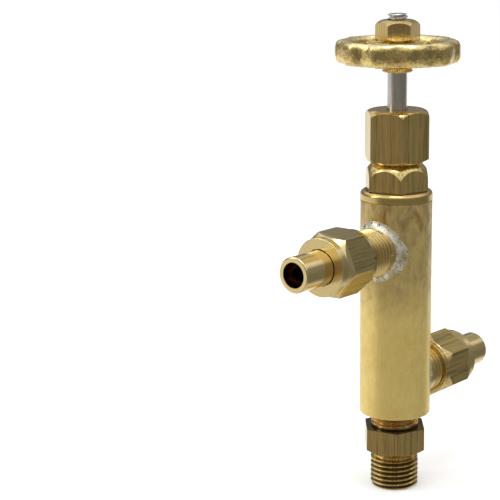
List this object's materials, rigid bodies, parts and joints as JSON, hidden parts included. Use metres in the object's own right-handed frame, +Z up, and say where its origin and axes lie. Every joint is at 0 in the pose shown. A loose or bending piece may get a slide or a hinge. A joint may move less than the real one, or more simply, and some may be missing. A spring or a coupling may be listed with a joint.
{
  "type": "needle valve",
  "caption": "Miniature brass needle valve: round barrel with two side unions at different heights, threaded hex base, hex bonnet and gland nut, steel spindle and cast handwheel.",
  "frame": {"origin": "centre of the lower end of the base thread", "axes": "+Z up the spindle towards the handwheel, -X along the upper side port, +X along the lower side port"},
  "size_m": [0.0498, 0.02, 0.0789],
  "materials": {
    "body_brass": "satin turned brass with heat tint near the soldered top",
    "fitting_brass": "drawn hexagon brass with fine lengthwise lines, bright chamfers",
    "nipple_brass": "bright fine-turned brass",
    "cast_brass": "grainy sand-cast brass",
    "stainless_steel": "fine-ground stainless steel",
    "silver_solder": "bright lumpy solder with small pits",
    "gland_packing": "graphited packing",
    "washer_fibre": "thin dark fibre"
  },
  "bodies": {
    "root": {"barrel": "body_brass", "seat_insert": "fitting_brass", "top_bush": "body_brass", "base_adaptor": "fitting_brass", "bonnet": "fitting_brass", "bonnet_washer": "washer_fibre", "upper_port_stub": "fitting_brass", "upper_port_solder": "silver_solder", "lower_port_stub": "fitting_brass", "lower_port_solder": "silver_solder"},
    "packing": {"packing_ring_1": "gland_packing", "packing_ring_2": "gland_packing", "packing_ring_3": "gland_packing"},
    "spindle_set": {"spindle": "stainless_steel", "handwheel": "cast_brass", "wheel_nut": "fitting_brass"},
    "follower": {"gland_follower": "fitting_brass"},
    "gland": {"gland_nut": "fitting_brass"},
    "upper_nipple": {"upper_union_nipple": "nipple_brass"},
    "upper_nut": {"upper_union_nut": "fitting_brass"},
    "lower_nipple": {"lower_union_nipple": "nipple_brass"},
    "lower_nut": {"lower_union_nut": "fitting_brass"}
  },
  "joints": [
    {"name": "handwheel_turn", "type": "hinge", "parent": "root", "child": "packing", "pos_m": [0, 0, 0.056], "axis": [0, 0, 1], "range_deg": [0, 2160]},
    {"name": "spindle_rise", "type": "slide", "parent": "packing", "child": "spindle_set", "axis": [0, 0, 1], "range_m": [0, 0.00381]},
    {"name": "gland_follower_slide", "type": "slide", "parent": "root", "child": "follower", "axis": [0, 0, 1], "range_m": [0, 0.00238]},
    {"name": "gland_nut_turn", "type": "hinge", "parent": "follower", "child": "gland", "pos_m": [0, 0, 0.059], "axis": [0, 0, 1], "range_deg": [0, 1080]},
    {"name": "upper_nipple_slide", "type": "slide", "parent": "root", "child": "upper_nipple", "axis": [-1, 0, 0], "range_m": [0, 0.00476]},
    {"name": "upper_union_turn", "type": "hinge", "parent": "upper_nipple", "child": "upper_nut", "pos_m": [-0.0156, 0, 0.0411], "axis": [-1, 0, 0], "range_deg": [0, 2160]},
    {"name": "lower_nipple_slide", "type": "slide", "parent": "root", "child": "lower_nipple", "axis": [1, 0, 0], "range_m": [0, 0.00476]},
    {"name": "lower_union_turn", "type": "hinge", "parent": "lower_nipple", "child": "lower_nut", "pos_m": [0.0126, 0, 0.0184], "axis": [1, 0, 0], "range_deg": [0, 2160]}
  ],
  "couplings": [
    {"joint": "handwheel_turn", "follows": "spindle_rise", "rad_per_m": 9894.8},
    {"joint": "gland_nut_turn", "follows": "gland_follower_slide", "rad_per_m": 7915.8},
    {"joint": "upper_union_turn", "follows": "upper_nipple_slide", "rad_per_m": 7915.8},
    {"joint": "lower_union_turn", "follows": "lower_nipple_slide", "rad_per_m": 7915.8}
  ]
}
